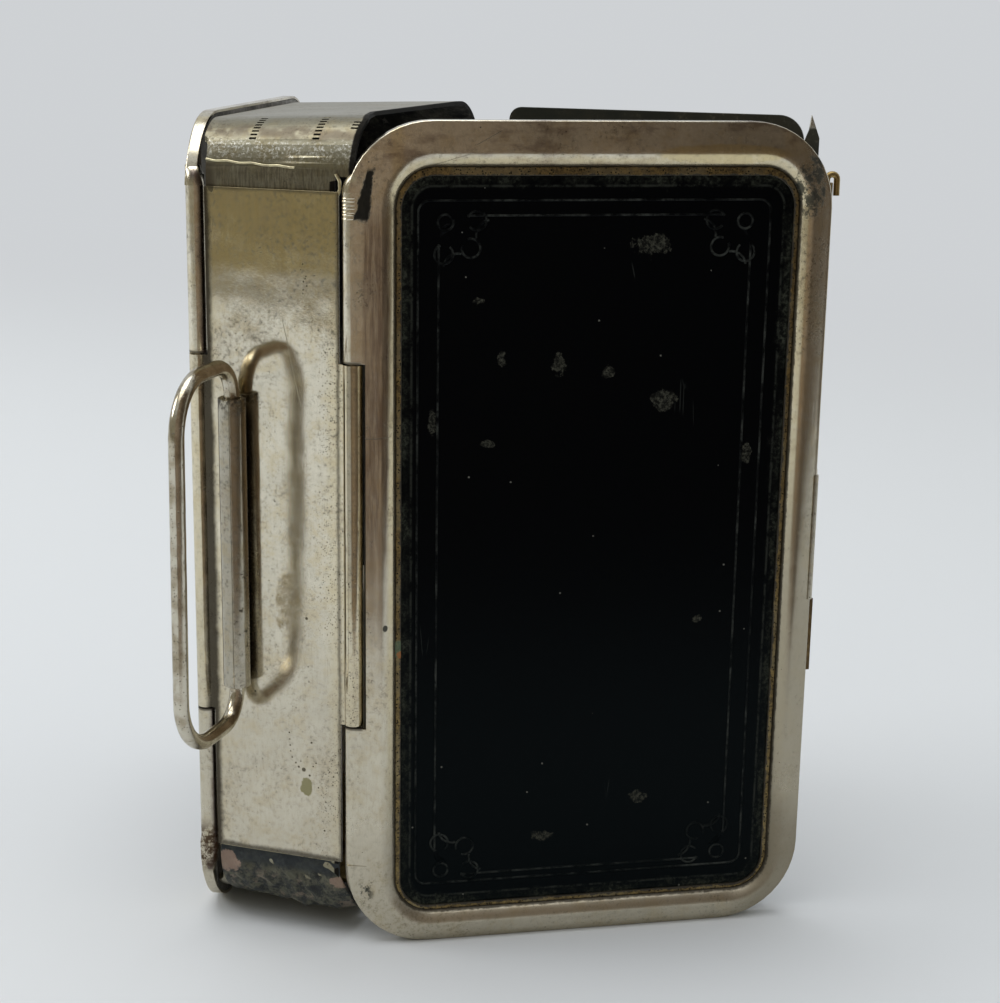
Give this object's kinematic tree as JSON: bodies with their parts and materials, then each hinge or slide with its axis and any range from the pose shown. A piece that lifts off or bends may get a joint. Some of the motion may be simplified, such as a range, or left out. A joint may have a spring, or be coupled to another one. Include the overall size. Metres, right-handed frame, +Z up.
{
  "type": "folding candle lantern",
  "caption": "Flat pocket candle lantern of nickelled sheet with hinged covers, black panels, a mica window leaf, a wire handle and a candle cup inside.",
  "frame": {"origin": "on the table, below the middle of the whole lantern as it stands open", "axes": "+Z up along the hinge axes, +Y from the spine into the case, +X from the back hinge to the front hinge"},
  "size_m": [0.0854, 0.0769, 0.1057],
  "materials": {
    "nickel": "worn nickel plate over brass, tarnished warm grey",
    "roof_nickel": "worn nickel plate, corroded to grey-green at the foot, sooty inside",
    "black_japan": "black japanning with scratches and grey rubs",
    "sooty_tin": "dull tin, blackened with soot",
    "brass": "dark tarnished brass",
    "wire": "worn nickelled steel wire",
    "olive_tin": "dark olive lacquered tin, rubbed",
    "mica": "thin amber mica with smoke haze",
    "wax": "ivory stearin wax",
    "wick": "charred cotton"
  },
  "bodies": {
    "lantern_case": {"case_band": "roof_nickel", "hinge_plate": "nickel", "handle_sleeve": "nickel", "front_hinge_pin": "wire", "back_hinge_pin": "wire", "candle_tray": "brass", "candle_cup": "brass", "cup_rivets": "nickel", "candle": "wax", "wick": "wick"},
    "front_cover": {"front_cover_frame": "nickel", "front_cover_panel": "black_japan", "front_cover_lining": "sooty_tin", "leaf_hinge_strap": "brass", "leaf_hinge_pin": "brass", "corner_tab": "olive_tin"},
    "window_leaf": {"leaf_frame": "olive_tin", "leaf_mica": "mica", "leaf_retainer": "olive_tin", "leaf_knuckle": "nickel"},
    "back_cover": {"back_cover_frame": "nickel", "back_cover_panel": "black_japan", "back_cover_lining": "sooty_tin"},
    "handle": {"wire_handle": "wire"}
  },
  "joints": [
    {"name": "front_cover_hinge", "type": "hinge", "parent": "lantern_case", "child": "front_cover", "pos_m": [-0.00977, -0.01984, 0.05385], "axis": [0, 0, 1], "range_deg": [-7, 61]},
    {"name": "window_leaf_hinge", "type": "hinge", "parent": "front_cover", "child": "window_leaf", "pos_m": [0.04133, 0.01048, 0.0525], "axis": [0, 0, 1], "range_deg": [-3.4, 28.2]},
    {"name": "back_cover_hinge", "type": "hinge", "parent": "lantern_case", "child": "back_cover", "pos_m": [-0.03017, -0.01984, 0.05385], "axis": [0, 0, 1], "range_deg": [-0.8, 100]},
    {"name": "handle_hinge", "type": "hinge", "parent": "lantern_case", "child": "handle", "pos_m": [-0.02457, -0.02245, 0.0528], "axis": [0, 0, 1], "range_deg": [-60, 87]}
  ],
  "couplings": [
    {"joint": "window_leaf_hinge", "follows": "front_cover_hinge", "ratio": 0.45902}
  ]
}
